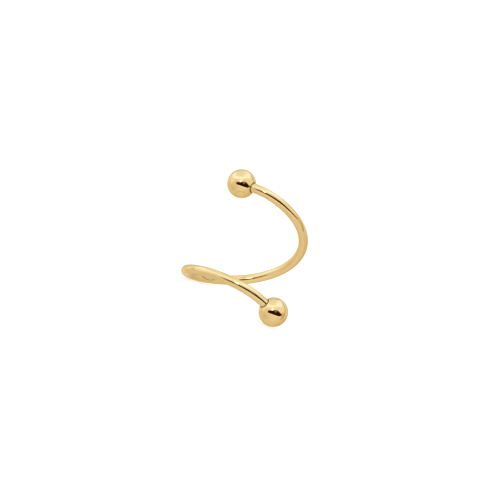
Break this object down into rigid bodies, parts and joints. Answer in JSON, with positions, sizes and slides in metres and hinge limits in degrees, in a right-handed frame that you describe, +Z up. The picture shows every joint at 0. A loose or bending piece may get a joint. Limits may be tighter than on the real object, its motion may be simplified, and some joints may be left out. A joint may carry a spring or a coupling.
{
  "type": "spiral piercing hoop",
  "caption": "Rigid gold spiral hoop for an ear piercing: a round wire bent into a left-handed coil of just over one turn, with a small screw-on ball on each end.",
  "frame": {"origin": "middle of the base of the hoop's bounding box, on the table that it rests on by itself", "axes": "+Z up from the table; -Y is the front, the open side of the coil, from which the picture was taken; +X to the right in that view"},
  "size_m": [0.0118, 0.0136, 0.013],
  "materials": {
    "polished_gold": "polished solid 14 carat yellow gold, mirror bright"
  },
  "bodies": {
    "wire": {"spiral_wire": "polished_gold"},
    "upper_ball": {"upper_ball": "polished_gold"},
    "lower_ball": {"lower_ball": "polished_gold"}
  },
  "joints": [
    {"name": "upper_ball_unscrews", "type": "slide", "parent": "wire", "child": "upper_ball", "axis": [-0.8883, 0.4426, -0.1227], "range_m": [0, 0.002]},
    {"name": "lower_ball_unscrews", "type": "slide", "parent": "wire", "child": "lower_ball", "axis": [0.8612, 0.3681, -0.3505], "range_m": [0, 0.002]}
  ]
}
